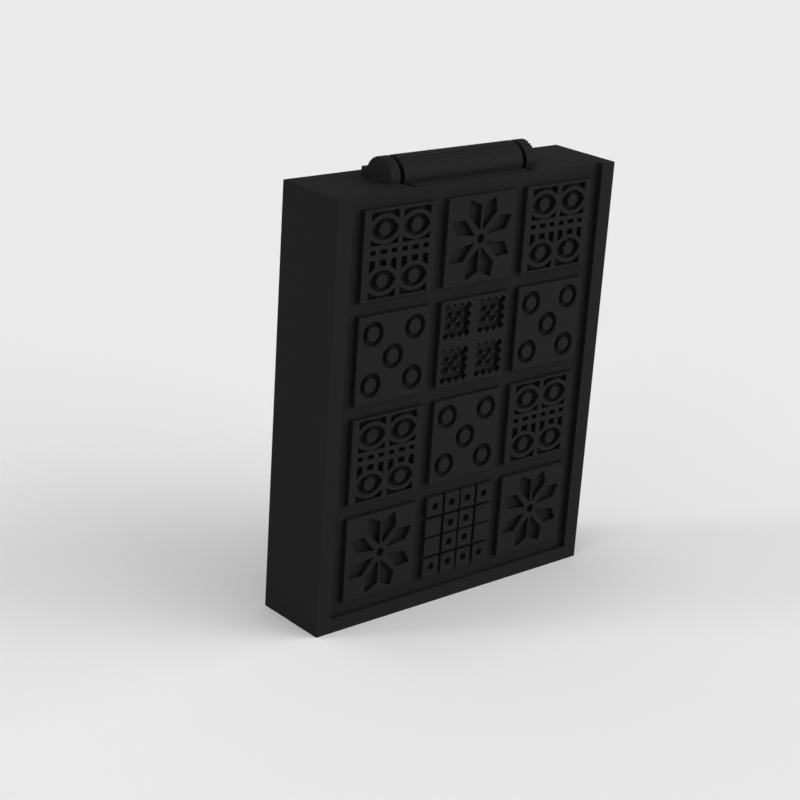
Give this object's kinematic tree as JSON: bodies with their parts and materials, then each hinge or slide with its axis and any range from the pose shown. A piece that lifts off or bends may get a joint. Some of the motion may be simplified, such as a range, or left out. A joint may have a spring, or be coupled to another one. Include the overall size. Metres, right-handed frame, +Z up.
{
  "type": "royal game of ur set",
  "caption": "Folding box of hinged trays that opens flat into a board of patterned squares, with counters and tetrahedral dice stored inside.",
  "frame": {"origin": "middle of the foot end, on the plane where the closed halves meet", "axes": "+Z up from the foot end to the hinge, +X across the board along the hinge, -Y out of the front half"},
  "size_m": [0.1006, 0.024, 0.1308],
  "materials": {
    "black_print": "matte",
    "natural_print": "matte",
    "steel_pin": "drawn",
    "plated_magnet": "plated"
  },
  "bodies": {
    "rear": {"rear_half": "black_print", "rear_divider": "black_print", "left_knuckle": "black_print", "right_knuckle": "black_print", "hinge_pin": "steel_pin", "rear_magnets": "plated_magnet", "rear_row1_middle_dots": "black_print", "rear_row2_middle_grid": "black_print", "rear_row3_left_rosette": "black_print", "rear_row3_middle_eyes": "black_print", "rear_row3_right_rosette": "black_print", "rear_row4_left_toothed": "black_print", "rear_row4_middle_dots": "black_print", "rear_row4_right_toothed": "black_print"},
    "front": {"front_half": "black_print", "front_divider": "black_print", "hinge_barrel": "black_print", "front_magnets": "plated_magnet", "front_row1_left_eyes": "black_print", "front_row1_middle_rosette": "black_print", "front_row1_right_eyes": "black_print", "front_row2_left_dots": "black_print", "front_row2_middle_toothed": "black_print", "front_row2_right_dots": "black_print", "front_row3_left_eyes": "black_print", "front_row3_middle_dots": "black_print", "front_row3_right_eyes": "black_print", "front_row4_left_rosette": "black_print", "front_row4_middle_grid": "black_print", "front_row4_right_rosette": "black_print", "light_counter_1": "natural_print", "light_counter_2": "natural_print", "light_counter_3": "natural_print", "light_counter_4": "natural_print", "light_counter_5": "natural_print", "light_counter_6": "natural_print", "light_counter_7": "natural_print", "dark_counter_1": "black_print", "dark_counter_2": "black_print", "dark_counter_3": "black_print", "dark_counter_4": "black_print", "dark_counter_5": "black_print", "dark_counter_6": "black_print", "dark_counter_7": "black_print", "die_1": "natural_print", "die_2": "natural_print", "die_3": "natural_print", "die_4": "natural_print"}
  },
  "joints": [
    {"name": "board_hinge", "type": "hinge", "parent": "rear", "child": "front", "pos_m": [0, 0, 0.12555], "axis": [-1, 0, 0], "range_deg": [0, 180]}
  ]
}
